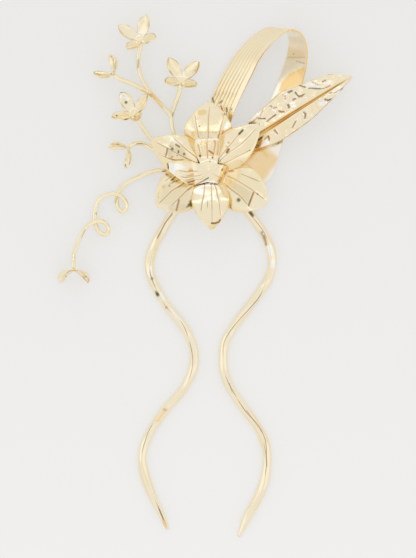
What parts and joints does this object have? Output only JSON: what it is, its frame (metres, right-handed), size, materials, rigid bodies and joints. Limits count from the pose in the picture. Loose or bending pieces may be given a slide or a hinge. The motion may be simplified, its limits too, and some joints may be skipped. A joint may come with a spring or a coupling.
{
  "type": "flower hairpin",
  "caption": "Hammered hair fork with two wavy prongs, crowned by a layered flower with a ribbon loop, a leaf, forked sprays of small florets and a curling tendril.",
  "frame": {"origin": "below the middle of the whole pin, on the surface that it lies on", "axes": "+Y from the points of the prongs to the flower, +X to the right as seen from the flower's side, +Z out of the flower's face"},
  "size_m": [0.0852, 0.1517, 0.0121],
  "materials": {
    "polished_gold": "polished pale gold"
  },
  "bodies": {
    "root": {"fork": "polished_gold", "back_disc": "polished_gold", "back_petals": "polished_gold", "middle_petals": "polished_gold", "inner_petals": "polished_gold", "ribbon_loop": "polished_gold", "leaf": "polished_gold", "tall_stem": "polished_gold", "short_stem": "polished_gold", "tendril_stem": "polished_gold", "floret_1": "polished_gold", "floret_2": "polished_gold", "floret_3": "polished_gold", "floret_4": "polished_gold", "floret_5": "polished_gold", "floret_6": "polished_gold"}
  },
  "joints": []
}
